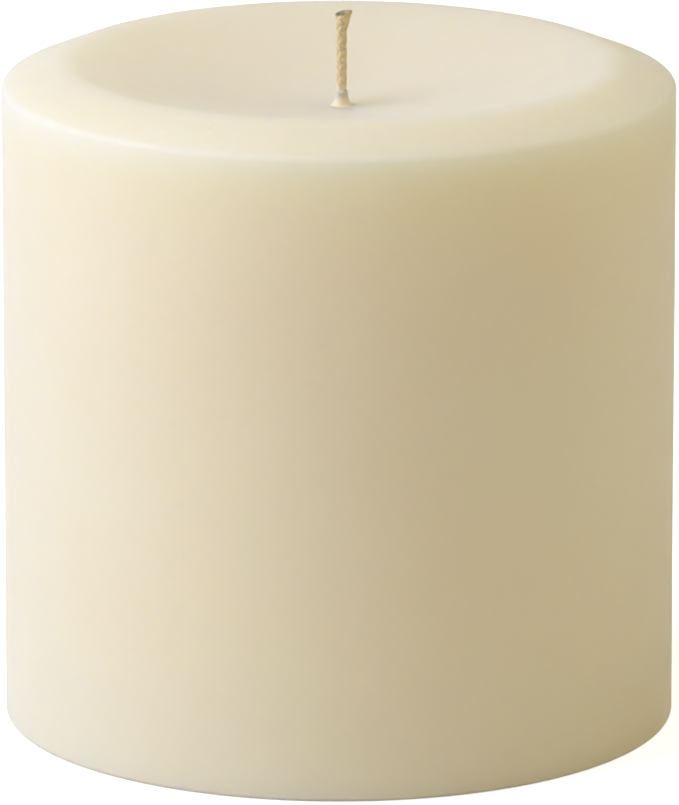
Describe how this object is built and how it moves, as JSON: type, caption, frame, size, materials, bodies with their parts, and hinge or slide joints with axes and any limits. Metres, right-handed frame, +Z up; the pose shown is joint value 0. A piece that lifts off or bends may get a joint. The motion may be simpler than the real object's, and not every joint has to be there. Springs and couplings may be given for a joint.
{
  "type": "pillar candle",
  "caption": "Squat round pillar candle of plain ivory wax, with a sloping rim, a soft crest, a shallow dish and a short braided wick.",
  "frame": {"origin": "centre of the base, on the table", "axes": "+Z up along the axis of the pillar; +X to the right and +Y away from the viewer of the picture"},
  "size_m": [0.076, 0.076, 0.0814],
  "materials": {
    "wax": "smooth ivory paraffin wax, slightly see-through, with a soft sheen",
    "cotton": "braided cotton soaked in wax, straw-coloured, dark at the cut end",
    "tinplate": "thin bright tinplate"
  },
  "bodies": {
    "root": {"wax_body": "wax", "wick": "cotton", "wick_tab": "tinplate"}
  },
  "joints": []
}
